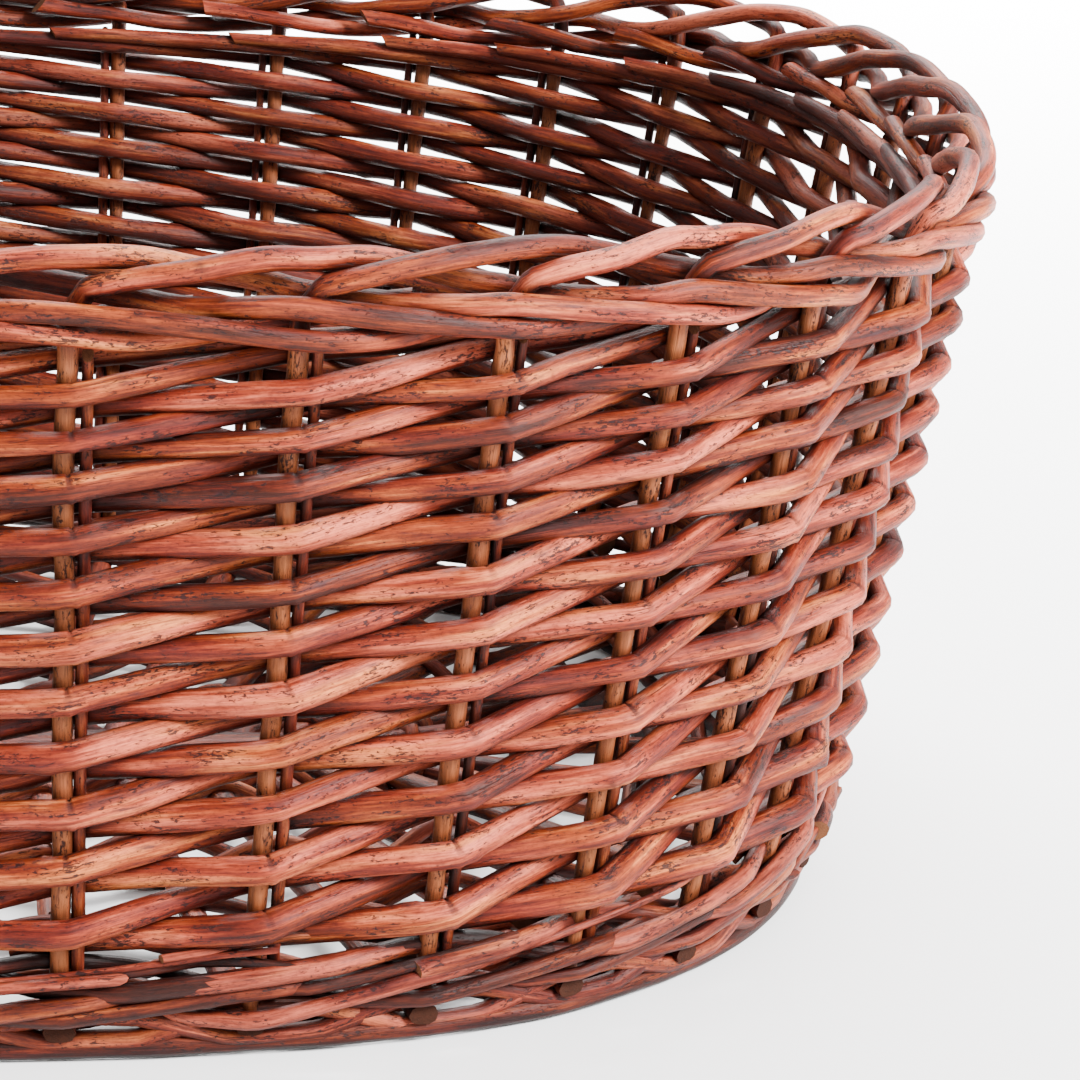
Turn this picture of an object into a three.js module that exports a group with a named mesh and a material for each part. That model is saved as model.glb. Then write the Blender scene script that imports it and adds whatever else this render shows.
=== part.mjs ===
// Oval willow log basket: rolled border, side woven of alternating rods, stick-and-weave base.
// Millimetres, +Z up, long side of the oval along X, the basket stands on z = 0.

import * as THREE from 'three';
import { ParametricGeometry } from 'three/addons/geometries/ParametricGeometry.js';

// Driving dimensions. The wall is an oval that widens at an even rate from its foot to its rim.
const STAKES = 34;                 // upright stakes round the wall
const FOOT = { z: 32, a: 258, b: 227 };    // half length and half width of the stake line
const RIM = { z: 197, a: 290, b: 239 };    // the same, just under the rolled border
const SQUARENESS = 2.7;            // exponent of the superellipse; 2 is an ellipse
const CLOSER_AT_BENDS = 0.19;      // how much nearer the stakes stand where the oval turns

const STAKE_RADIUS = 2.5;
const CLEAR = 0.4;                 // gap kept between touching rods
const END_DIP = 0.6;               // how far a leaning stake's end face dips at one side
const ROUNDS = 11;                 // rounds of side weaving
const ROD_THICKNESS = 7;
const ROUND_FILL = 0.72;           // share of each round's spacing that its rod fills
const SPACING_GROWTH = 0.35;       // lowest round is this much further apart than the highest
const FLAT_ALONG = 4.5;            // half of the flat that a rod keeps where it passes a stake

const EDGE_TOP = 14;               // top of the thick rods round the edge of the base
const EDGE_WIDTH = 20;
const EDGE_OUT = -3;               // middle of the base edge, outward of the stake line
const UPSETT_THICKNESS = 5;        // band of thin rods round the foot of the stakes
const FLOOR_THICKNESS = 5;
const STICK_THICKNESS = 4.5;
const STICK_END_GAP = 16;          // from a base stick's end to the base edge
const LONG_STICKS = { count: 3, apart: 60 };
const CROSS_STICKS = { count: 4, apart: 70 };

const MATERIALS = {
  stake: { color: 0xa9794a, roughness: 0.62 },
  weave: { color: 0x8f5230, roughness: 0.55 },
  border: { color: 0x96583a, roughness: 0.52 },
  base: { color: 0x7c4a2c, roughness: 0.66 },
};

const basket = new THREE.Group();

function add(name, geometry, look) {
  const settings = { ...MATERIALS[look], metalness: 0 };
  const mesh = new THREE.Mesh(geometry, new THREE.MeshStandardMaterial(settings));
  mesh.name = name;
  basket.add(mesh);
}

// A point of the wall: t runs once round the oval, out is the distance outward of the stake line.
function wallPoint(t, z, out) {
  const rise = (z - FOOT.z) / (RIM.z - FOOT.z);
  const a = THREE.MathUtils.lerp(FOOT.a, RIM.a, rise);
  const b = THREE.MathUtils.lerp(FOOT.b, RIM.b, rise);
  const c = Math.cos(t);
  const s = Math.sin(t);
  const power = 2 / SQUARENESS;
  const x = a * Math.sign(c) * Math.abs(c) ** power;
  const y = b * Math.sign(s) * Math.abs(s) ** power;
  const normalX = Math.sign(c) * Math.abs(x / a) ** (SQUARENESS - 1) / a;
  const normalY = Math.sign(s) * Math.abs(y / b) ** (SQUARENESS - 1) / b;
  const length = Math.hypot(normalX, normalY);
  return new THREE.Vector3(x + out * normalX / length, y + out * normalY / length, z);
}

// Stake places: even steps of a mix of distance along the oval and angle turned through.
function stakeTable() {
  const samples = 7200;
  const middle = (FOOT.z + RIM.z) / 2;
  const distance = [0];
  const turned = [0];
  const at = (i) => wallPoint(2 * Math.PI * (i + 0.5) / samples - Math.PI / 2, middle, 0);
  let heading = null;
  for (let i = 0; i < samples; i += 1) {
    const step = at(i + 1).sub(at(i));
    const angle = Math.atan2(step.y, step.x);
    let turn = heading === null ? 0 : angle - heading;
    if (turn < -Math.PI) turn += 2 * Math.PI;
    heading = angle;
    distance.push(distance[i] + step.length());
    turned.push(turned[i] + turn);
  }
  return { samples, distance, turned };
}

const table = stakeTable();

function mixedAt(i) {
  const far = table.distance[i] / table.distance[table.samples];
  const round = table.turned[i] / table.turned[table.samples];
  return (1 - CLOSER_AT_BENDS) * far + CLOSER_AT_BENDS * round;
}

// Angle of stake i, counted from the middle of the near long side towards +X.
function stakeAngle(i) {
  const wanted = (i + 0.5) / STAKES;
  let sample = 0;
  while (mixedAt(sample) < wanted) sample += 1;
  return 2 * Math.PI * (sample + 0.5) / table.samples - Math.PI / 2;
}

const angles = Array.from({ length: STAKES }, (_, i) => stakeAngle(i));

// Angle that lies a short way along the wall from t.
function stepAlong(t, z, along) {
  const tiny = 1e-4;
  const speed = wallPoint(t + tiny, z, 0).distanceTo(wallPoint(t - tiny, z, 0)) / (2 * tiny);
  return t + along / speed;
}

// A closed ring round the wall. stations gives {t, out} along it, corners the {out, z} of its section.
function ring(stations, corners) {
  const point = (across, along, target) => {
    const corner = corners[Math.round(across * corners.length) % corners.length];
    const station = stations[Math.round(along * stations.length) % stations.length];
    target.copy(wallPoint(station.t, corner.z, station.out + corner.out));
  };
  return new ParametricGeometry(point, corners.length, stations.length);
}

function box(thickness, low, high) {
  const half = thickness / 2;
  return [
    { out: -half, z: low },
    { out: -half, z: high },
    { out: half, z: high },
    { out: half, z: low },
  ];
}

function oval(width, height, z, sides) {
  return Array.from({ length: sides }, (_, i) => {
    const angle = 2 * Math.PI * (i + 0.5) / sides;
    return { out: Math.sin(angle) * width / 2, z: z + Math.cos(angle) * height / 2 };
  });
}

// Stations of a ring that keeps one distance from the stake line.
function plainStations(out) {
  return angles.flatMap((t, i) => {
    const next = angles[(i + 1) % STAKES] + (i === STAKES - 1 ? 2 * Math.PI : 0);
    return [{ t, out }, { t: (t + next) / 2, out }];
  });
}

// Stations of a rod that passes in front of one stake and behind the next.
function wovenStations(z, first) {
  const reach = STAKE_RADIUS + CLEAR + ROD_THICKNESS / 2;
  return angles.flatMap((t, i) => {
    const out = (i + first) % 2 === 0 ? reach : -reach;
    return [
      { t: stepAlong(t, z, -FLAT_ALONG), out },
      { t: stepAlong(t, z, FLAT_ALONG), out },
    ];
  });
}

function rod(from, to, radius) {
  const sides = 6;
  const outline = Array.from({ length: sides }, (_, i) => {
    const angle = 2 * Math.PI * i / sides;
    return new THREE.Vector2(radius * Math.cos(angle), radius * Math.sin(angle));
  });
  const settings = { extrudePath: new THREE.LineCurve3(from, to), steps: 1, bevelEnabled: false };
  return new THREE.ExtrudeGeometry(new THREE.Shape(outline), settings);
}

// Border: two rods' thickness in front of the stakes and the ridge over their tops.
const border = {
  lower: { out: 8.7, width: 11, low: 198, high: 206.4 },
  upper: { out: 10.9, width: 15, low: 206.8, high: 215.6 },
  ridge: { out: 3.5, width: 27, low: 216, high: 228 },
};

function addBorder() {
  for (const [name, row] of Object.entries(border)) {
    const middle = (row.low + row.high) / 2;
    const section = oval(row.width, row.high - row.low, middle, 8);
    add(`border_${name}`, ring(plainStations(row.out), section), 'border');
  }
}

function addStakes() {
  const low = EDGE_TOP + CLEAR + END_DIP;
  const high = border.ridge.low - CLEAR - END_DIP;
  angles.forEach((t, i) => {
    const name = `stake_${String(i + 1).padStart(2, '0')}`;
    add(name, rod(wallPoint(t, low, 0), wallPoint(t, high, 0), STAKE_RADIUS), 'stake');
  });
}

// Rounds of side weaving, a little closer together towards the rim.
function addSide() {
  const share = (i) => 1 + SPACING_GROWTH * (0.5 - i / (ROUNDS - 1));
  const total = Array.from({ length: ROUNDS }, (_, i) => share(i)).reduce((sum, s) => sum + s);
  let low = FOOT.z;
  for (let i = 0; i < ROUNDS; i += 1) {
    const spacing = share(i) * (RIM.z - FOOT.z) / total;
    const middle = low + spacing / 2;
    const half = ROUND_FILL * spacing / 2;
    const section = box(ROD_THICKNESS, middle - half, middle + half);
    const name = `weave_round_${String(i + 1).padStart(2, '0')}`;
    add(name, ring(wovenStations(middle, i), section), 'weave');
    low += spacing;
  }
}

// The band of thin rods that holds the stakes upright at their foot.
function addUpsett() {
  const out = STAKE_RADIUS + CLEAR + UPSETT_THICKNESS / 2;
  const section = box(UPSETT_THICKNESS, EDGE_TOP + CLEAR, FOOT.z - 1);
  add('upsett_band', ring(plainStations(out), section), 'weave');
}

// Outline of the stake line at floor level, moved outward by a distance.
function floorOutline(out) {
  return angles.map((t) => {
    const p = wallPoint(t, 0, out);
    return new THREE.Vector2(p.x, p.y);
  });
}

function addBase() {
  add('base_edge', ring(plainStations(EDGE_OUT), box(EDGE_WIDTH, 0, EDGE_TOP)), 'base');

  const inner = EDGE_OUT - EDGE_WIDTH / 2 - CLEAR;
  const floor = new THREE.Shape(floorOutline(inner - 1));
  const settings = { depth: FLOOR_THICKNESS, bevelEnabled: false };
  add('base_floor', new THREE.ExtrudeGeometry(floor, settings), 'base');

  const radius = STICK_THICKNESS / 2;
  const longZ = FLOOR_THICKNESS + CLEAR + radius;
  const crossZ = longZ + STICK_THICKNESS + CLEAR;
  const reachX = FOOT.a + inner - STICK_END_GAP;
  const reachY = FOOT.b + inner - STICK_END_GAP;
  for (let i = 0; i < LONG_STICKS.count; i += 1) {
    const y = (i - (LONG_STICKS.count - 1) / 2) * LONG_STICKS.apart;
    const from = new THREE.Vector3(-reachX, y, longZ);
    const to = new THREE.Vector3(reachX, y, longZ);
    add(`base_stick_long_${i + 1}`, rod(from, to, radius), 'base');
  }
  for (let i = 0; i < CROSS_STICKS.count; i += 1) {
    const x = (i - (CROSS_STICKS.count - 1) / 2) * CROSS_STICKS.apart;
    const from = new THREE.Vector3(x, -reachY, crossZ);
    const to = new THREE.Vector3(x, reachY, crossZ);
    add(`base_stick_cross_${i + 1}`, rod(from, to, radius), 'base');
  }
}

addBase();
addUpsett();
addStakes();
addSide();
addBorder();

export default basket;
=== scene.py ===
"""Oval willow log basket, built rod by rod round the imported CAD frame.

Lengths are in metres. A place on the wall is given by three numbers: s, counted in bays from the
first stake (stake i stands at s = i), the height z, and how far the place lies outward of the
stake line. The stake line and the heights of the weave are read from the CAD nodes' boxes.
"""

import math

import bpy
import numpy as np
from mathutils import Euler, Matrix, Vector


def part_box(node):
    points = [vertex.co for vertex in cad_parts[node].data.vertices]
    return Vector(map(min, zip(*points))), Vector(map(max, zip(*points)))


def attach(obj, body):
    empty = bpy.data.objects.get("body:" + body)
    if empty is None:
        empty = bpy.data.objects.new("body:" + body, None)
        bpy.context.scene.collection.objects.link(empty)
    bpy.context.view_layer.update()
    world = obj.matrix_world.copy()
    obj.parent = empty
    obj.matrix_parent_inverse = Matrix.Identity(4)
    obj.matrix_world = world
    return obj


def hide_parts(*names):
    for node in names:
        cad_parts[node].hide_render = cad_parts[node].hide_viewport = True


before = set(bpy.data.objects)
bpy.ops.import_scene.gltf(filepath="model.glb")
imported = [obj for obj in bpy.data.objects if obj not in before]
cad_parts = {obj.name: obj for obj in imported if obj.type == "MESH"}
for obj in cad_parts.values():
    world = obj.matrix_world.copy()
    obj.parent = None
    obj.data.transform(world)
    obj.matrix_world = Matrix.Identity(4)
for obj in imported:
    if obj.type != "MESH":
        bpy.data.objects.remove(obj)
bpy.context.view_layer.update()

MM = 0.001
random = np.random.default_rng(11)

# ---------------------------------------------------------------- camera

CAMERA_PLACE = Vector((0.0768, -1.2278, 0.4497))
CAMERA_YAW = 0.0770         # radians, turned towards +X
CAMERA_PITCH = 0.2918       # radians below the horizon
CAMERA_ROLL = 0.0282        # radians, anticlockwise
CAMERA_LENS = 133.65        # for a sensor 36 mm wide


def add_camera():
    data = bpy.data.cameras.new("camera")
    data.sensor_width = 36
    data.lens = CAMERA_LENS
    data.clip_start = 0.05
    data.clip_end = 50
    camera = bpy.data.objects.new("camera", data)
    bpy.context.scene.collection.objects.link(camera)
    aim = Euler((math.pi / 2 - CAMERA_PITCH, 0, -CAMERA_YAW)).to_matrix()
    aim = aim @ Matrix.Rotation(CAMERA_ROLL, 3, "Z")
    camera.matrix_world = Matrix.Translation(CAMERA_PLACE) @ aim.to_4x4()
    bpy.context.scene.camera = camera


add_camera()

# ---------------------------------------------------------------- the wall

STAKES = sum(name.startswith("stake_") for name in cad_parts)
ROUNDS = sum(name.startswith("weave_round_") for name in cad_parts)
CAD_STAKE_RADIUS = 2.5 * MM
FOOT_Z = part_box("stake_01")[0][2]
TOP_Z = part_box("stake_01")[1][2]
BAY = 47 * MM               # about the length of one bay, used only to spread random numbers
FINE = 48                   # samples to a bay on the foot and top lines
PER_BAY = 12                # samples to a bay on the rods of the upsett and the base


def stake_line(i):
    """Foot and top of a stake's centre line, from its CAD box: a stake leans outward."""
    low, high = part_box(f"stake_{i + 1:02d}")
    foot, top = [], []
    for axis in (0, 1):
        lesser = low[axis] + CAD_STAKE_RADIUS
        greater = high[axis] - CAD_STAKE_RADIUS
        outward = (low[axis] + high[axis]) > 0
        foot.append(lesser if outward else greater)
        top.append(greater if outward else lesser)
    return foot, top


def catmull(p0, p1, p2, p3, u):
    """The Catmull-Rom curve between p1 and p2."""
    return 0.5 * (2 * p1 + (p2 - p0) * u + (2 * p0 - 5 * p1 + 4 * p2 - p3) * u**2
                  + (3 * p1 - p0 - 3 * p2 + p3) * u**3)


def smooth_loop(points):
    """A closed curve through the points, FINE samples to each."""
    points = np.array(points)
    u = (np.arange(FINE) / FINE)[:, None]
    pieces = []
    for i in range(len(points)):
        near = [points[(i + j - 1) % len(points)] for j in range(4)]
        pieces.append(catmull(*near, u))
    return np.concatenate(pieces)


def open_curve(knots, per_span):
    """A curve through the rows of knots, from the first to the last."""
    knots = np.asarray(knots, float)
    ends = np.vstack([2 * knots[0] - knots[1], knots, 2 * knots[-1] - knots[-2]])
    u = (np.arange(per_span) / per_span)[:, None]
    pieces = [catmull(*near, u) for near in zip(ends, ends[1:], ends[2:], ends[3:])]
    return np.vstack([*pieces, knots[-1:]])


stake_lines = [stake_line(i) for i in range(STAKES)]
foot_loop = smooth_loop([foot for foot, top in stake_lines])
top_loop = smooth_loop([top for foot, top in stake_lines])


def along_loop(loop, s):
    """Points x, y on a closed curve, at s bays from its start."""
    place = np.mod(np.asarray(s, float), STAKES) * FINE
    low = np.floor(place).astype(int)
    part = (place - low)[:, None]
    return loop[low % len(loop)] * (1 - part) + loop[(low + 1) % len(loop)] * part


def wall_line(s, z):
    """Points x, y on the wall that the stakes' centre lines make, at height z."""
    rise = ((np.asarray(z, float) - FOOT_Z) / (TOP_Z - FOOT_Z))[:, None]
    return along_loop(foot_loop, s) * (1 - rise) + along_loop(top_loop, s) * rise


def wall(s, z, out):
    """Points on or beside the wall, as an array of x, y, z rows."""
    s, z, out = np.broadcast_arrays(*(np.asarray(part, float) for part in (s, z, out)))
    step = 0.02
    along = wall_line(s + step, z) - wall_line(s - step, z)
    along /= np.linalg.norm(along, axis=1)[:, None]
    outward = np.stack([along[:, 1], -along[:, 0]], axis=1)
    flat = wall_line(s, z) + outward * out[:, None]
    return np.column_stack([flat, z])


def bay_width(s, z):
    """Length of one bay at s and z."""
    ahead = wall_line(np.array([s + 0.5]), np.array([z]))
    behind = wall_line(np.array([s - 0.5]), np.array([z]))
    return float(np.linalg.norm(ahead - behind))


round_z = []
for i in range(ROUNDS):
    low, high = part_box(f"weave_round_{i + 1:02d}")
    round_z.append((low[2] + high[2]) / 2)
WALL_TOP = round_z[-1] + (round_z[-1] - round_z[-2]) / 2

# ---------------------------------------------------------------- rods


def unit(vector):
    return vector / np.linalg.norm(vector)


def travelled(points):
    """Distance along the polyline at each of its points."""
    steps = np.linalg.norm(np.diff(points, axis=0), axis=1)
    return np.concatenate([[0], np.cumsum(steps)])


def wander(at, size, reach):
    """Smooth random numbers for the distances in at, changing over the distance reach."""
    knots = np.arange(0, at[-1] + 3 * reach, reach)
    values = random.normal(0, size, len(knots))
    return np.interp(at, knots, values)


def bent_line(corners, reach, step):
    """Straight stretches with a short bend at each corner.

    reach says how far each bend spreads. The second result is 1 in the middle of a bend and 0 on
    the stretches, and the third is the number of the corner that a point belongs to.
    """
    points, bend, owner = [corners[0]], [0.0], [0]
    for i in range(1, len(corners)):
        here = corners[i]
        back = corners[i - 1] - here
        last = i == len(corners) - 1
        onward = back if last else corners[i + 1] - here
        room = min(np.linalg.norm(back), np.linalg.norm(onward))
        spread = 0.0 if last else min(reach[i], 0.45 * room)
        enter = here + unit(back) * spread
        start = points[-1]
        count = max(1, int(np.linalg.norm(enter - start) / step))
        for part in np.arange(1, count + 1) / count:
            points.append(start + (enter - start) * part)
            bend.append(0.0)
            owner.append(i)
        if last:
            continue
        leave = here + unit(onward) * spread
        for part in (0.33, 0.67, 1.0):
            curve = enter * (1 - part)**2 + 2 * here * part * (1 - part) + leave * part**2
            points.append(curve)
            bend.append(0.0 if part == 1.0 else 1.0)
            owner.append(i)
    return np.array(points), np.array(bend), np.array(owner)


def respace(points, step, *extras):
    """The polyline's points at even steps, with the values in extras carried along."""
    length = travelled(points)
    count = max(4, int(round(length[-1] / step)))
    at = np.linspace(0, length[-1], count)
    moved = np.stack([np.interp(at, length, points[:, c]) for c in range(3)], axis=1)
    return moved, [np.interp(at, length, extra) for extra in extras]


def frames(points):
    """The direction of the line at each point, and two directions across it that don't twist."""
    along = np.gradient(points, axis=0)
    along /= np.linalg.norm(along, axis=1)[:, None]
    side = np.cross(along[0], (0.0, 0.0, 1.0))
    if np.linalg.norm(side) < 0.2:
        side = np.cross(along[0], (1.0, 0.0, 0.0))
    across = np.zeros_like(along)
    for i in range(len(points)):
        side = unit(side - along[i] * np.dot(side, along[i]))
        across[i] = side
    return along, across, np.cross(along, across)


OVAL = 0.035                # how oval a rod's section is, as a share of its radius
THREE_SIDED = 0.02          # how three-sided it is, on average, changing along the rod
INWARD_SHADE = 0.75         # darkening of a side that faces the inside of the basket
BELOW_SHADE = 0.85          # darkening of a side that faces down
INNER_RING = 0.55           # size of the ring inside a cut face, as a share of its rim


def with_knot(girth, dark, distance, angle):
    """girth and dark with one more small swelling, dark in its middle, somewhere on the rod."""
    where = random.uniform(0.03, 0.97) * distance[-1]
    towards = random.uniform(0, 2 * math.pi)
    size = random.uniform(1.8, 3.6) * MM
    near = np.exp(-((distance - where) / size)**2)[:, None]
    turned = np.angle(np.exp(1j * (angle - towards)))[None, :]
    swelling = random.uniform(0.08, 0.26) * near * np.exp(-(turned / 0.6)**2)
    blot = near**3 * np.exp(-(turned / 0.42)**2) * random.uniform(0.4, 1.0)
    return girth * (1 + swelling), np.maximum(dark, blot)


def hidden_from_light(points, facing):
    """From 0 to 1, how far each spot on a rod faces down or into the basket."""
    centre = points[:, :2] / (np.linalg.norm(points[:, :2], axis=1)[:, None] + 1e-6)
    inward = -(facing[:, :, :2] * centre[:, None, :]).sum(axis=2)
    below = np.clip(-facing[:, :, 2], 0, 1)**1.4
    return np.clip(INWARD_SHADE * np.clip(inward, 0, 1) + BELOW_SHADE * below, 0, 1)


def rod(name, points, radius, material, replaces=(), sides=12, stain=1.0, crease=0.0,
        knots=2, cut=(0.0, 0.0), shaded=1.0, uneven=0.05, flat=0.0, end_dark=0.0):
    """A rod along the points.

    radius, stain and crease are one number or one for each point: crease is how sharply the bark
    is folded there, on the upper side, or on the lower side where it is negative. knots is how
    many small swellings it has. cut tilts each end face, as a slanting knife cut does, and
    end_dark is how weathered that face is. shaded is how much darker the rod is on the sides that
    face down or into the basket, and uneven how much its radius varies. flat squashes it.
    """
    points = np.asarray(points, float)
    count = len(points)
    radius, stain, crease = (np.broadcast_to(np.asarray(part, float), count)
                             for part in (radius, stain, crease))
    along, across, other = frames(points)
    distance = travelled(points)
    angle = 2 * math.pi * np.arange(sides) / sides
    facing = (np.cos(angle)[None, :, None] * across[:, None, :]
              + np.sin(angle)[None, :, None] * other[:, None, :])
    radius = radius * (1 + wander(distance, uneven, 22 * MM))
    spin = random.uniform(0, 2 * math.pi)
    girth = np.repeat(radius[:, None], sides, axis=1)
    girth *= 1 + OVAL * np.sin(2 * angle + spin)[None, :]
    three_sided = wander(distance, THREE_SIDED, 9 * MM)[:, None]
    girth *= 1 + three_sided * np.sin(3 * angle + spin)[None, :]

    upward = facing[:, :, 2]
    folded = np.abs(crease)[:, None]
    fold_side = np.sign(crease)[:, None] * upward
    # Painted shade: the inside of a fold is made darker, as shade in the crease.
    dark = 0.9 * folded * np.clip(fold_side * 1.6 - 0.1, 0, 1)
    girth *= 1 + flat * (1 - 2 * upward**2)
    girth *= 1 - 0.16 * folded * np.clip(fold_side, 0, 1)
    girth *= 1 + 0.09 * folded * np.clip(-fold_side, 0, 1)
    for _ in range(knots):
        girth, dark = with_knot(girth, dark, distance, angle)
    # Painted shade: sides that face down or into the basket get a value that darkens their colour.
    shade = shaded * hidden_from_light(points, facing)

    rings = points[:, None, :] + facing * girth[:, :, None]
    for end, tilt in ((0, cut[0]), (count - 1, cut[1])):
        rings[end] += along[end] * (np.cos(angle) * girth[end] * tilt)[:, None]
    grain = np.stack([
        np.cos(angle)[None, :] * girth / MM,
        np.sin(angle)[None, :] * girth / MM,
        np.repeat((distance / MM)[:, None], sides, axis=1),
    ], axis=2) + random.uniform(-500, 500, 3)
    values = {"dark": dark, "shade": shade, "stain": np.repeat(stain[:, None], sides, axis=1)}
    return rod_object(name, rings, grain, values, end_dark, material, replaces)


def rod_object(name, rings, grain, values, end_dark, material, replaces):
    """Skins the rings, closes both ends with a cut face and gives the piece to the frame."""
    count, sides, _ = rings.shape
    place = [rings.reshape(-1, 3)]
    carried = {"grain": [grain.reshape(-1, 3)], "cut": [np.zeros(count * sides)]}
    for label, value in values.items():
        carried[label] = [value.reshape(-1)]
    i = np.arange(count - 1)[:, None] * sides
    j = np.arange(sides)[None, :]
    k = (j + 1) % sides
    skin = np.stack([i + j, i + k, i + sides + k, i + sides + j], axis=2)
    faces = skin.reshape(-1, 4).tolist()
    smooth = [True] * len(faces)
    base = count * sides
    for end, first in ((0, True), (count - 1, False)):
        rim = rings[end]
        middle = rim.mean(axis=0)
        place += [rim, middle + (rim - middle) * INNER_RING, middle[None, :]]
        core = grain[end].mean(axis=0)
        inner = core + (grain[end] - core) * INNER_RING
        carried["grain"] += [grain[end], inner, core[None, :]]
        carried["cut"] += [np.ones(2 * sides + 1)]
        carried["dark"] += [np.full(2 * sides + 1, end_dark)]
        carried["shade"] += [np.zeros(2 * sides + 1)]
        carried["stain"] += [np.ones(2 * sides + 1)]
        for m in range(sides):
            n = (m + 1) % sides
            quad = [base + m, base + sides + m, base + sides + n, base + n]
            triangle = [base + sides + m, base + 2 * sides, base + sides + n]
            faces += [quad, triangle] if first else [quad[::-1], triangle[::-1]]
            smooth += [False, False]
        base += 2 * sides + 1
    mesh = bpy.data.meshes.new(name)
    mesh.from_pydata(np.concatenate(place).tolist(), [], faces)
    mesh.polygons.foreach_set("use_smooth", smooth)
    carried["tint"] = [np.full(len(mesh.vertices), random.uniform(0, 1))]
    for label, parts in carried.items():
        kind, key = ("FLOAT_VECTOR", "vector") if label == "grain" else ("FLOAT", "value")
        layer = mesh.attributes.new(label, kind, "POINT")
        layer.data.foreach_set(key, np.concatenate(parts).astype(np.float32).reshape(-1))
    mesh.update()
    mesh.materials.append(material)
    piece = bpy.data.objects.new(name, mesh)
    bpy.context.scene.collection.objects.link(piece)
    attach(piece, "root")
    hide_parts(*replaces)
    return piece


# ---------------------------------------------------------------- materials


class Nodes:
    """A shorthand for building a material's nodes."""

    def __init__(self, name):
        self.material = bpy.data.materials.new(name)
        self.material.use_nodes = True
        self.tree = self.material.node_tree
        self.shader = self.tree.nodes["Principled BSDF"]

    def put(self, socket, value):
        """Links a socket's value in, or sets a constant."""
        if isinstance(value, bpy.types.NodeSocket):
            self.tree.links.new(value, socket)
        elif isinstance(value, tuple) and len(value) < len(socket.default_value):
            socket.default_value = (*value, 1)
        else:
            socket.default_value = value

    def add(self, kind, inputs, **settings):
        node = self.tree.nodes.new(kind)
        for key, value in settings.items():
            setattr(node, key, value)
        for key, value in inputs.items():
            self.put(node.inputs[key], value)
        return node

    def attribute(self, name, output="Fac"):
        return self.add("ShaderNodeAttribute", {}, attribute_name=name).outputs[output]

    def math(self, operation, a, b=0.0):
        return self.add("ShaderNodeMath", {0: a, 1: b}, operation=operation).outputs[0]

    def noise(self, vector, stretch, detail=3.0, roughness=0.55, distortion=0.0):
        scaled = self.add("ShaderNodeVectorMath", {0: vector, 1: stretch}, operation="MULTIPLY")
        inputs = {"Vector": scaled.outputs[0], "Scale": 1.0, "Detail": detail,
                  "Roughness": roughness, "Distortion": distortion}
        return self.add("ShaderNodeTexNoise", inputs).outputs["Fac"]

    def spread(self, value, gain):
        """The value's distance from one half, times gain."""
        return self.math("MULTIPLY", self.math("SUBTRACT", value, 0.5), gain)

    def ramp(self, value, stops):
        node = self.add("ShaderNodeValToRGB", {"Fac": value})
        elements = node.color_ramp.elements
        while len(elements) < len(stops):
            elements.new(0.5)
        for element, (place, colour) in zip(elements, stops):
            element.position = place
            colour = colour if isinstance(colour, tuple) else (colour, colour, colour)
            element.color = (*colour, 1)
        return node.outputs["Color"]

    def mix(self, amount, a, b, blend="MIX"):
        inputs = {"Factor": amount, 6: a, 7: b}
        return self.add("ShaderNodeMix", inputs, data_type="RGBA", blend_type=blend).outputs[2]


PITCH_DARK = (0.012, 0.0045, 0.005)
BRUISE = (0.030, 0.0095, 0.012)
WHITE = (1.0, 1.0, 1.0)


def bark(n, grain, tones, streaks):
    """Stain in patches and streaks, in two hues, with a fine mottle. tones run dark to light."""
    tint = n.attribute("tint")
    patches = n.noise(grain, (0.14, 0.14, 0.020), 2.5)
    level = n.math("ADD", 0.52, n.spread(patches, 1.5))
    level = n.math("ADD", level, n.spread(streaks, 1.1))
    level = n.math("ADD", level, n.spread(tint, 0.40))
    places = (0.14, 0.38, 0.58, 0.86)
    colour = n.ramp(level, list(zip(places, tones)))
    warmth = n.math("ADD", n.noise(grain, (0.16, 0.16, 0.016), 2.0), n.spread(tint, -0.22))
    warmth = n.ramp(warmth, [(0.40, (0.97, 0.79, 1.02)), (0.60, (1.02, 1.07, 0.72))])
    colour = n.mix(1.0, colour, warmth, "MULTIPLY")
    mottle = n.noise(grain, (1.1, 1.1, 0.5), 5.0, 0.72, 0.3)
    mottle = n.ramp(mottle, [
        (0.36, (1.08, 1.08, 1.05)),
        (0.52, (0.92, 0.88, 0.90)),
        (0.66, (0.50, 0.40, 0.46)),
    ])
    return n.mix(0.8, colour, mottle, "MULTIPLY")


def cracks(n, grain):
    """1 on thin lengthwise cracks, which lie in a few places only."""
    noise = n.noise(grain, (0.55, 0.55, 0.010), 2.0)
    line = n.math("ABSOLUTE", n.math("SUBTRACT", noise, 0.5))
    line = n.ramp(line, [(0.0, 1.0), (0.010, 0.0)])
    where = n.ramp(n.noise(grain, (0.10, 0.10, 0.018), 1.0), [(0.54, 0.0), (0.60, 1.0)])
    return n.mix(1.0, line, where, "MULTIPLY")


def bruises(n, grain):
    """1 on purple bruises a few millimetres wide."""
    noise = n.noise(grain, (0.42, 0.42, 0.075), 4.0, 0.65, 0.4)
    return n.ramp(noise, [(0.60, 0.0), (0.72, 1.0)])


def specks(n, grain):
    """1 on short dark dashes, which lie in groups."""
    noise = n.noise(grain, (1.25, 1.25, 0.42), 4.0, 0.7, 0.5)
    where = n.noise(grain, (0.25, 0.25, 0.06), 1.0)
    level = n.math("ADD", noise, n.math("MULTIPLY", where, 0.5))
    return n.ramp(level, [(0.845, 0.0), (0.885, 1.0)])


def corners(n):
    """Painted shade in the corners between the rods, darker where ambient occlusion finds little
    open space.
    """
    open_air = n.add("ShaderNodeAmbientOcclusion", {"Distance": 11 * MM}, samples=5)
    return n.ramp(open_air.outputs["AO"], [
        (0.16, (0.12, 0.06, 0.05)),
        (0.50, (0.52, 0.38, 0.34)),
        (0.86, WHITE),
    ])


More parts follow.
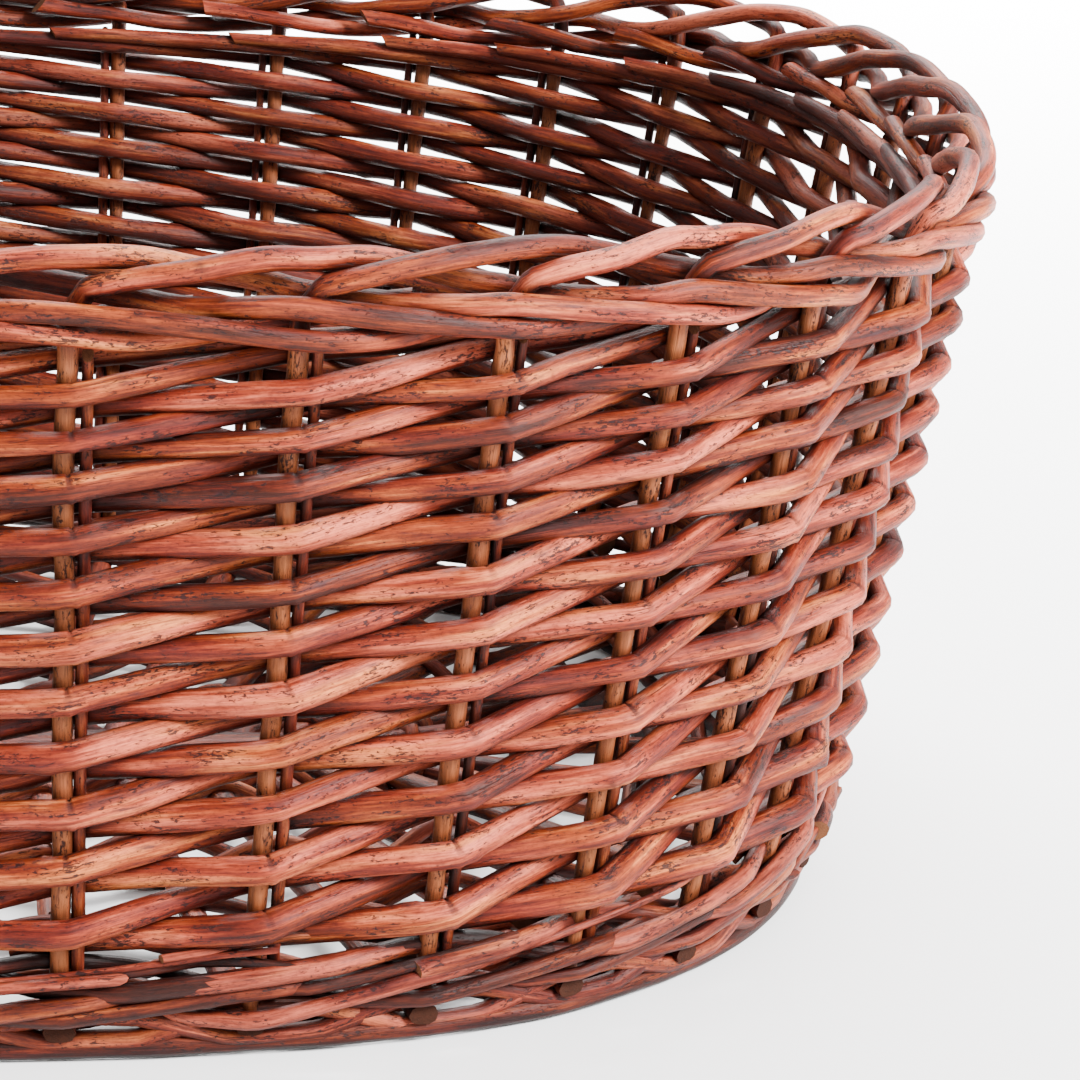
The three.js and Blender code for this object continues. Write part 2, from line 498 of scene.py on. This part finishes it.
def willow(name, tones):
    """Stained willow: bark with its marks, bare wood where the stain is thin, and cut ends."""
    n = Nodes(name)
    grain = n.attribute("grain", "Vector")
    dark = n.attribute("dark")
    cut = n.attribute("cut")
    streaks = n.noise(grain, (0.75, 0.75, 0.045), 4.0, 0.62)
    fine = n.noise(grain, (2.6, 2.6, 0.18), 3.0, 0.6)

    colour = bark(n, grain, tones, streaks)
    thin = n.math("MULTIPLY", n.math("SUBTRACT", 1.0, n.attribute("stain")), 0.85)
    bare_wood = n.mix(streaks, tuple(0.55 * c for c in OCHRE), OCHRE)
    colour = n.mix(thin, colour, bare_wood)
    lines = n.ramp(fine, [(0.34, 0.55), (0.55, 1.0)])
    colour = n.mix(0.8, colour, lines, "MULTIPLY")

    crack = cracks(n, grain)
    speck = specks(n, grain)
    colour = n.mix(n.math("MULTIPLY", bruises(n, grain), 0.75), colour, BRUISE)
    colour = n.mix(n.math("MULTIPLY", crack, 0.8), colour, PITCH_DARK)
    colour = n.mix(n.math("MULTIPLY", speck, 0.9), colour, PITCH_DARK)
    # dark holds knot marks and weathered cut ends, and painted shade in the folds of creases.
    colour = n.mix(n.math("MULTIPLY", dark, 0.9), colour, PITCH_DARK)
    # Painted shade: sides that face down or into the basket are mixed towards a dark tone.
    shaded = n.math("MULTIPLY", n.attribute("shade"), 0.80)
    colour = n.mix(shaded, colour, n.mix(0.5, PITCH_DARK, tones[0]))

    fresh = n.mix(fine, (0.060, 0.020, 0.008), (0.170, 0.065, 0.028))
    old = n.mix(streaks, (0.004, 0.0008, 0.0005), (0.026, 0.0055, 0.0026))
    colour = n.mix(cut, colour, n.mix(dark, fresh, old))
    # Painted shade in the corners between rods multiplies the colour.
    n.put(n.shader.inputs["Base Color"], n.mix(1.0, colour, corners(n), "MULTIPLY"))

    rough = n.math("ADD", n.math("MULTIPLY", streaks, 0.30), 0.36)
    rough = n.math("ADD", rough, n.math("MULTIPLY", dark, 0.2))
    n.put(n.shader.inputs["Roughness"], n.math("ADD", rough, n.math("MULTIPLY", cut, 0.5)))
    height = n.math("ADD", n.math("MULTIPLY", streaks, 0.6), n.math("MULTIPLY", fine, 0.3))
    height = n.math("SUBTRACT", height, n.math("MULTIPLY", speck, 0.3))
    height = n.math("SUBTRACT", height, n.math("MULTIPLY", crack, 0.5))
    bump = n.add("ShaderNodeBump", {"Height": height, "Strength": 0.7, "Distance": 0.7 * MM})
    n.put(n.shader.inputs["Normal"], bump.outputs["Normal"])
    n.put(n.shader.inputs["Specular IOR Level"], 0.15)
    return n.material


OCHRE = (0.42, 0.145, 0.050)        # bare wood
weave_willow = willow("weave_willow", [
    (0.034, 0.0058, 0.0036), (0.115, 0.0140, 0.0052),
    (0.235, 0.0370, 0.0100), (0.55, 0.150, 0.056),
])
bye_willow = willow("bye_willow", [
    (0.028, 0.0054, 0.0034), (0.095, 0.0135, 0.0050),
    (0.200, 0.0370, 0.0125), (0.38, 0.110, 0.045),
])
border_willow = willow("border_willow", [
    (0.037, 0.0070, 0.0042), (0.128, 0.0180, 0.0064),
    (0.260, 0.0440, 0.0130), (0.55, 0.156, 0.058),
])
base_willow = willow("base_willow", [
    (0.022, 0.0038, 0.0026), (0.068, 0.0086, 0.0034),
    (0.150, 0.0245, 0.0076), (0.35, 0.090, 0.036),
])

# ---------------------------------------------------------------- side weave

BUTT = 4.35 * MM            # radius of a weaving rod where it starts
TIP = 3.35 * MM             # and where it ends
STAKE = 2.7 * MM            # radius of a stake
BYE = 1.8 * MM              # radius of a bye-stake at its foot
BYE_GAP = 0.4 * MM          # gap between a stake and its bye-stake
BACK_SHARE = 0.57           # part of a rod's climb, between two front crossings, done by halfway
TIP_WAY = [                 # end of a weaving rod, inside: bays beyond its last stake, mm up, mm in
    (0.55, 2.0, 1.4), (1.00, 3.6, 3.3), (1.25, 4.4, 3.4),
]


def level(turn):
    """Height at which a weaving rod passes in front of a stake for the time numbered turn.

    turn may be a fraction, and may lie one beyond either end.
    """
    first, last = round_z[1] - round_z[0], round_z[-1] - round_z[-2]
    spots = [round_z[0] - first, *round_z, round_z[-1] + last]
    return float(np.interp(turn, np.arange(-1, ROUNDS + 1), spots))


def crossing(k, j, radius):
    """Where rod k passes stake k + j: two spots, the reach of their bends, and their folds."""
    front = j % 2 == 1
    if front:
        height = level((j - 1) / 2)
    else:
        height = level(j / 2 - 1) + BACK_SHARE * (level(j / 2) - level(j / 2 - 1))
    height += random.normal(0, 0.4 * MM)
    width = bay_width(k + j, height)
    out = STAKE + radius + random.uniform(-0.4, 0.3) * MM
    before = random.uniform(2.4, 3.8) * MM / width
    after = random.uniform(1.3, 2.8) * MM / width
    spacing = level(j / 2 + 0.5) - level(j / 2 - 0.5)
    came, goes = (1 - BACK_SHARE, BACK_SHARE) if front else (BACK_SHARE, 1 - BACK_SHARE)
    side = 1 if front else -1
    spots = [
        (k + j - before, height - came * spacing * before, side * (out - 0.5 * MM)),
        (k + j + after, height + goes * spacing * after, side * (out + 0.2 * MM)),
    ]
    reach = [1.8 * MM, 0.8 * MM if front else 1.8 * MM]
    folds = [0.0, random.uniform(0.1, 1.0) if front else 0.0]
    return spots, reach, folds


def weaving_rod(k):
    """Rod k starts behind stake k and climbs, in front of one stake and behind the next."""
    bays = 2 * ROUNDS
    lead = random.uniform(0.15, 0.35)
    tail = random.uniform(0.0, 0.35)
    thick = random.uniform(0.93, 1.09)
    spots = [(k - lead, level(-0.65), -(STAKE + BUTT))]
    reach, folds = [0.0], [0.0]
    for j in range(bays + 1):
        radius = thick * (BUTT + (TIP - BUTT) * j / bays)
        more_spots, more_reach, more_folds = crossing(k, j, radius)
        spots += more_spots
        reach += more_reach
        folds += more_folds
    top = spots[-1][1]
    for (beyond, up, inward), longer in zip(TIP_WAY, (0.0, 0.0, tail)):
        place = k + bays + beyond + longer
        spots.append((place, top + up * MM, -(STAKE + TIP + inward * MM)))
    reach += [8 * MM, 6 * MM, 0.0]
    folds += [0.0] * len(TIP_WAY)
    points, bend, owner = bent_line(wall(*np.array(spots).T), reach, 3.6 * MM)
    at = travelled(points)
    for axis in range(3):
        points[:, axis] += wander(at, 0.28 * MM, 26 * MM)
    radius = thick * np.interp(at / at[-1], [0, 0.94, 1], [BUTT, TIP, 0.7 * TIP])
    rod(f"weave_rod_{k + 1:02d}", points, radius, weave_willow,
        crease=bend * np.array(folds)[owner], knots=8, cut=(random.uniform(-0.8, 0.8), 0.7),
        replaces=[f"weave_round_{i + 1:02d}" for i in range(ROUNDS)])


for k in range(STAKES):
    weaving_rod(k)

# ---------------------------------------------------------------- stakes and rolled border

# Way of one stake from the wall top through the border: bays along, mm up, mm outward.
BORDER_WAY = [
    (0.00, 7.0, 0.0), (0.00, 13.0, 0.4), (0.045, 17.2, 1.6), (0.08, 20.6, 3.0),
    (0.10, 21.6, 3.7), (0.24, 23.4, 4.9), (0.50, 26.2, 4.6), (0.80, 28.5, 2.4), (1.05, 29.0, 0.3),
    (1.30, 27.6, -2.9), (1.55, 24.6, -5.2), (1.80, 21.2, -6.6), (2.00, 18.6, -6.8),
    (2.25, 16.0, -4.6), (2.50, 14.6, 0.0), (2.75, 15.3, 4.8), (3.00, 15.5, 6.4),
    (3.50, 12.2, 7.6), (4.00, 8.5, 6.4), (4.25, 7.5, 4.3), (4.50, 7.2, 0.0),
    (4.75, 8.6, -4.6), (5.00, 11.0, -6.9), (5.25, 13.0, -8.2), (5.45, 14.2, -9.0),
]
ELBOW = 0.085               # bays along, where the stake is folded over
BORDER_END = BORDER_WAY[-1][0]
TAIL_FROM = 4.6             # bays along, from where the end of each stake differs in length


def stake_with_border(i):
    """Stake i from the base to the top of the wall and on through the border, as one rod."""
    knots = [(0.0, FOOT_Z - 4 * MM, 0.0)]
    for part in np.linspace(0.05, 1, 9):
        z = FOOT_Z + (WALL_TOP - FOOT_Z) * part
        knots.append((random.normal(0, 0.004), z, random.normal(0, 0.15) * MM))
    raised, pushed = random.normal(0, 0.5, 2)
    end = random.uniform(-0.12, 0.1)
    for bays, up, outward in BORDER_WAY:
        late = max(0.0, bays - TAIL_FROM) / (BORDER_END - TAIL_FROM)
        grown = min(bays, 1)
        knots.append((
            bays + late * end,
            WALL_TOP + (up + raised * grown + random.normal(0, 0.3)) * MM,
            (outward + pushed * grown + random.normal(0, 0.25)) * MM,
        ))
    way = open_curve(knots, 8)
    points = wall(i + way[:, 0], way[:, 1], way[:, 2])
    girth = np.array([2.7, 3.05, 3.2, 3.1, 2.75]) * MM
    radius = np.interp(way[:, 0], [0, 0.06, 0.6, 3, BORDER_END], girth)
    stain = np.interp(way[:, 1] - WALL_TOP, [0, 9 * MM], [0.1, 1.0])
    stain = np.maximum(stain, np.interp(way[:, 0], [0, 0.1], [0, 1]))
    fold = np.exp(-((way[:, 0] - ELBOW) / 0.035)**2) * (way[:, 1] > WALL_TOP)
    points, (radius, stain, fold) = respace(points, 2.4 * MM, radius, stain, fold)
    rod(f"stake_rod_{i + 1:02d}", points, radius, border_willow, stain=stain,
        crease=-fold * random.uniform(0.7, 1.4), knots=5, cut=(0.0, random.uniform(0.2, 0.9)),
        shaded=0.3, replaces=[f"stake_{i + 1:02d}", "border_lower", "border_upper", "border_ridge"])


def bye_stake(i):
    """The thinner rod close beside stake i, as high as the wall."""
    part = np.linspace(0, 1, 36)
    low, high = FOOT_Z + 2 * MM, WALL_TOP + random.uniform(2, 9) * MM
    z = low + (high - low) * part
    width = bay_width(i, (low + high) / 2)
    gap = (STAKE + BYE_GAP + BYE) + random.uniform(-0.5, 0.7) * MM
    side = gap / width * (1 + 0.12 * (0.5 - part)) + wander(part, 0.3 * MM, 0.3) / width
    points = wall(i + side, z, wander(part, 0.25 * MM, 0.3))
    radius = random.uniform(0.9, 1.1) * np.interp(part, [0, 1], [BYE, 1.5 * MM])
    rod(f"bye_stake_{i + 1:02d}", points, radius, bye_willow, knots=1,
        shaded=0.5, cut=(0.0, 1.2), sides=10, replaces=[f"stake_{i + 1:02d}"])


for i in range(STAKES):
    stake_with_border(i)
    bye_stake(i)

# ---------------------------------------------------------------- upsett

EDGE_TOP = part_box("base_edge")[1][2]
UPSETT_LIFT = 4.0 * MM      # how far a rod of the band rises and falls
UPSETT_TIP = 7              # samples at its end that lie loose on the outside
RODS_ROUND = 3              # rods, end to end, that go once round the basket
UPSETT_ROWS = [             # mm above the base edge, radius in mm, rods side by side
    (3.8, 2.9, 3), (11.0, 2.6, 3), (15.5, 1.5, 1),
]


def upsett_rod(name, start, bays, phase, row_z, thick):
    """A rod of the band: in front of two stakes, rising, then behind one."""
    s = np.arange(start, start + bays, 1 / PER_BAY)
    turn = np.mod(s - phase, 3.0)
    reach = STAKE + thick
    out = np.interp(turn, [0, 0.15, 1.15, 1.55, 1.95, 2.2, 2.6, 3.0], [1, 1, 1, 0, -1, -1, 0, 1])
    lift = np.interp(turn, [0, 1.2, 1.6, 2.1, 2.6, 3.0], [-0.9, 0.9, 1.1, 0.2, -1.1, -0.9])
    at = (s - start) * BAY
    z = row_z + lift * UPSETT_LIFT + wander(at, 0.7 * MM, 40 * MM)
    out = out * reach + wander(at, 0.5 * MM, 40 * MM)
    loose = reach + random.uniform(0.0, 2.5) * MM
    out[-UPSETT_TIP:] = np.linspace(out[-UPSETT_TIP], loose, UPSETT_TIP)
    points, (part,) = respace(wall(s, z, out), 3.2 * MM, np.linspace(0, 1, len(s)))
    radius = thick * np.interp(part, [0, 0.7, 1], [1.05, 0.9, 0.65])
    rod(name, points, radius, base_willow, knots=4, sides=10,
        cut=(0.5, random.uniform(1.4, 2.6)), uneven=0.08, replaces=["upsett_band"])


def add_upsett():
    """Each row's rods, laid end to end round the basket from a random start."""
    number = 0
    for row, (up, thick, strands) in enumerate(UPSETT_ROWS):
        for phase in range(strands):
            start = random.uniform(0, STAKES)
            for part in range(RODS_ROUND):
                number += 1
                girth = thick * random.uniform(0.85, 1.1) * MM
                place = start + part * STAKES / RODS_ROUND
                bays = STAKES / RODS_ROUND + 0.6
                upsett_rod(f"upsett_rod_{number:02d}", place, bays,
                           phase + 0.3 * row, EDGE_TOP + up * MM, girth)


add_upsett()

# ---------------------------------------------------------------- base

STICK = 3.3 * MM            # radius of a base stick
ROW = 2.5 * MM              # radius of a rod of the floor
BASE_Z = 8.0 * MM
SLATH_LONG = 118 * MM       # half length of the middle, where the sticks lie close together
SLATH_WIDE = 13 * MM        # and half its width
ROW_PLACES = [0.05, 0.11, 0.17, 0.36, 0.42, 0.62, 0.68, 0.81, 0.86, 0.91, 0.96]     # 1 at the edge
MIDDLE_NODES = ["base_floor"] + [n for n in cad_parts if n.startswith("base_stick_")]


def base_outer(s, out):
    """Points x, y at the edge of the base, out beyond the stake line."""
    return wall(s, np.full(len(s), BASE_Z), out)[:, :2]


def base_inner(s):
    """The oval where the base weaving begins, at the same bearing as the stake."""
    edge = base_outer(s, np.zeros(len(s)))
    return edge / np.max(np.abs(foot_loop), axis=0) * [SLATH_LONG, SLATH_WIDE]


def base_point(s, part, z, out):
    """part is 0 at the middle sticks and 1 at the edge of the base."""
    part = np.asarray(part)[:, None]
    flat = base_inner(s) * (1 - part) + base_outer(s, out) * part
    return np.column_stack([flat, z])


def base_stick(number, first, last):
    """One stick from the foot of stake first, through the middle, to the foot of stake last."""
    reach = 4.0 * MM
    samples = 14
    part = np.linspace(1, 0, samples)
    level_z = np.full(samples, BASE_Z + 1.5 * MM)
    points = np.vstack([
        base_point(np.full(samples, float(first)), part, level_z, reach),
        base_point(np.full(samples, float(last)), part[::-1], level_z, reach),
    ])
    points, _ = respace(points, 4 * MM)
    points[:, 2] += wander(travelled(points), 0.3 * MM, 60 * MM)
    rod(f"base_stick_{number:02d}", points, STICK, base_willow, knots=3,
        cut=(random.uniform(-0.2, 0.2), random.uniform(-0.2, 0.2)), flat=0.24,
        end_dark=0.88, replaces=MIDDLE_NODES)


def base_row(name, part, phase):
    """A rod of the floor, over one stick and under the next."""
    s = np.arange(STAKES * PER_BAY + 14) / PER_BAY
    at = s * BAY
    wave = np.cos(math.pi * (s + phase))
    z = BASE_Z + wave * (STICK + ROW) * 0.85 + wander(at, 0.2 * MM, 40 * MM)
    points = base_point(s, np.full(len(s), part), z, 0.0)
    points, (along,) = respace(points, 4.2 * MM, np.linspace(0, 1, len(s)))
    girth = ROW * np.interp(along, [0, 1], [1.08, 0.86])
    rod(name, points, girth, base_willow, knots=6, sides=8, cut=(0.6, 1.2),
        replaces=MIDDLE_NODES)


def edge_rod(name, phase, radius, middle_z, swing, out):
    """A long rod of the base's edge, swinging gently over and under the stick ends."""
    first = phase + 2 * (STAKES // 3)
    s = np.arange(first, first + STAKES + 1.4, 1 / PER_BAY)
    at = (s - s[0]) * BAY
    turn = np.mod(s - phase, 2.0)
    wave = np.interp(turn, [0, 0.25, 0.75, 1.25, 1.75, 2.0], [1, 0.9, -0.9, -0.9, 0.9, 1])
    z = middle_z + wave * swing + wander(at, 0.25 * MM, 50 * MM)
    points = base_point(s, np.ones(len(s)), z, out + wander(at, 0.3 * MM, 50 * MM))
    points, (along,) = respace(points, 3.4 * MM, np.linspace(0, 1, len(s)))
    girth = radius * np.interp(along, [0, 1], [1.06, 0.9])
    rod(name, points, girth, base_willow, knots=10, cut=(0.6, 1.2), uneven=0.06,
        replaces=["base_edge"])


def add_base():
    """Sticks across the base, sticks at both ends that fan out, edge rods and woven rows."""
    side = STAKES // 4
    number = 0
    for i in range(-(side - 2), side - 2):
        number += 1
        base_stick(number, i % STAKES, (STAKES // 2 - 1 - i) % STAKES)
    for i in range(side - 2, STAKES // 2 - (side - 2)):
        number += 1
        base_stick(number, i, STAKES - 1 - i)
    edge_rod("base_edge_rod_1", 0.0, 3.1 * MM, 3.9 * MM, 0.1 * MM, -0.4 * MM)
    edge_rod("base_edge_rod_2", 0.15, 2.9 * MM, 9.4 * MM, 4.1 * MM, 0.0 * MM)
    edge_rod("base_edge_rod_3", 1.15, 2.9 * MM, 9.4 * MM, 4.1 * MM, 0.0 * MM)
    for row, part in enumerate(ROW_PLACES):
        base_row(f"base_row_{row + 1:02d}", part, row % 2)


add_base()

# ---------------------------------------------------------------- studio


def add_floor():
    half = 6.0
    corners = [(-half, -half, 0), (half, -half, 0), (half, half, 0), (-half, half, 0)]
    mesh = bpy.data.meshes.new("floor")
    mesh.from_pydata(corners, [], [(0, 1, 2, 3)])
    floor = bpy.data.objects.new("floor", mesh)
    bpy.context.scene.collection.objects.link(floor)
    n = Nodes("floor")
    n.put(n.shader.inputs["Base Color"], (0.97, 0.97, 0.97, 1))
    n.put(n.shader.inputs["Roughness"], 1.0)
    n.put(n.shader.inputs["Specular IOR Level"], 0.0)
    mesh.materials.append(n.material)


def add_lamp(name, place, size, power, towards=(0, 0, 0.1), spread=math.pi):
    data = bpy.data.lights.new(name, "AREA")
    data.shape = "RECTANGLE"
    data.size, data.size_y = size
    data.energy = power
    data.spread = spread
    lamp = bpy.data.objects.new(name, data)
    bpy.context.scene.collection.objects.link(lamp)
    lamp.location = place
    lamp.rotation_euler = (Vector(towards) - Vector(place)).to_track_quat("-Z", "Y").to_euler()


def add_light():
    world = bpy.data.worlds.new("world")
    bpy.context.scene.world = world
    world.use_nodes = True
    sky = world.node_tree.nodes["Background"]
    sky.inputs["Color"].default_value = (1, 1, 1, 1)
    sky.inputs["Strength"].default_value = 1.3
    add_lamp("key", (2.1, -1.6, 1.8), (0.9, 0.9), 415)
    add_lamp("behind", (0.8, 2.5, 2.0), (3.4, 1.8), 460, towards=(0.8, 2.0, 0), spread=1.7)


add_floor()
add_light()
